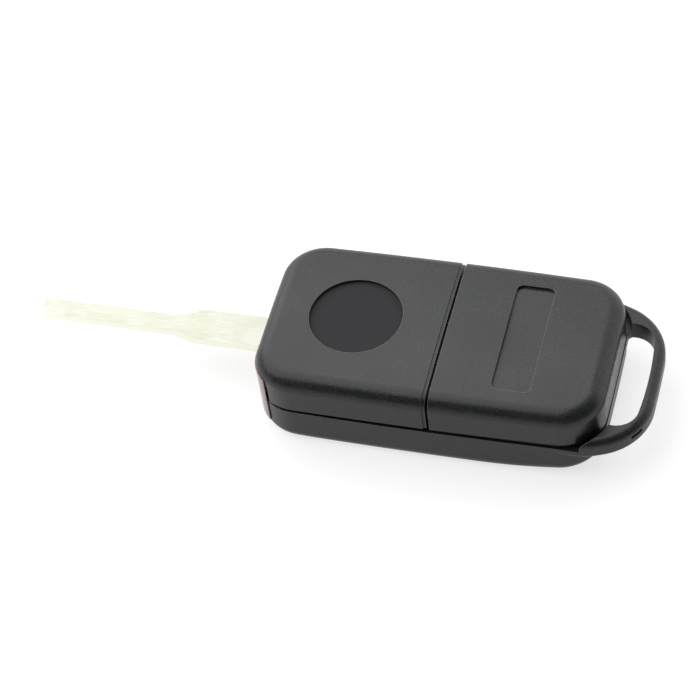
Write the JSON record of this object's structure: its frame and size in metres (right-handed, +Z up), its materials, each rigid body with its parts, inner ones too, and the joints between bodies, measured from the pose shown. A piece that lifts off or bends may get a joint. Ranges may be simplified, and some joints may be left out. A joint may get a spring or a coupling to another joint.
{
  "type": "flip key remote shell",
  "caption": "Folding car-key remote housing with a swing-out uncut blade, rear cell cover, front push buttons, status lens and a key-ring loop.",
  "frame": {"origin": "on the flat rest face of the front (button) side, at the centre of the housing's length and width", "axes": "+X from the blade's end towards the key-ring loop, +Y to the long side that the blade folds into, +Z up from the rest face to the back"},
  "size_m": [0.1217, 0.0357, 0.0177],
  "materials": {
    "shell_black": "fine spark-eroded texture",
    "button_black": "soft matte",
    "lens_red": "translucent, polished",
    "led_clear": "translucent",
    "blade_nickel": "nickel silver, satin",
    "hub_metal": "cast, satin",
    "spring_steel": "drawn wire",
    "washer_plastic": "plain",
    "membrane_rubber": "matte",
    "carrier_grey": "moulded",
    "contact_metal": "nickel-plated strip",
    "screw_steel": "zinc-plated",
    "pad_foam": "closed-cell foam"
  },
  "bodies": {
    "housing": {"lower_case": "shell_black", "upper_cover": "shell_black", "nose_lens": "lens_red", "led_window": "led_clear", "keypad_membrane": "membrane_rubber", "board_carrier": "carrier_grey", "contact_positive": "contact_metal", "contact_negative": "contact_metal", "case_screws": "screw_steel"},
    "blade": {"blade_hub": "hub_metal", "key_blade": "blade_nickel", "blade_pin": "spring_steel", "thrust_washer": "washer_plastic", "flip_spring": "spring_steel"},
    "release": {"release_button": "button_black"},
    "battery_cover": {"battery_cover": "shell_black", "cell_pad": "pad_foam"},
    "lock_button": {"lock_button": "button_black"},
    "unlock_button": {"unlock_button": "button_black"},
    "trunk_button": {"trunk_button": "button_black"}
  },
  "joints": [
    {"name": "blade_flip", "type": "hinge", "parent": "housing", "child": "blade", "pos_m": [-0.02725, 0.006, 0.0085], "axis": [0, 0, -1], "range_deg": [0, 180]},
    {"name": "release_press", "type": "slide", "parent": "blade", "child": "release", "axis": [0, 0, 1], "range_m": [0, 0.0018], "stiffness_N_per_m": 300, "deforming": ["flip_spring"]},
    {"name": "battery_cover_lift", "type": "slide", "parent": "housing", "child": "battery_cover", "axis": [0, 0, 1], "range_m": [0, 0.012]},
    {"name": "lock_press", "type": "slide", "parent": "housing", "child": "lock_button", "axis": [0, 0, 1], "range_m": [0, 0.0005], "stiffness_N_per_m": 300},
    {"name": "unlock_press", "type": "slide", "parent": "housing", "child": "unlock_button", "axis": [0, 0, 1], "range_m": [0, 0.0005], "stiffness_N_per_m": 300},
    {"name": "trunk_press", "type": "slide", "parent": "housing", "child": "trunk_button", "axis": [0, 0, 1], "range_m": [0, 0.0005], "stiffness_N_per_m": 300}
  ]
}
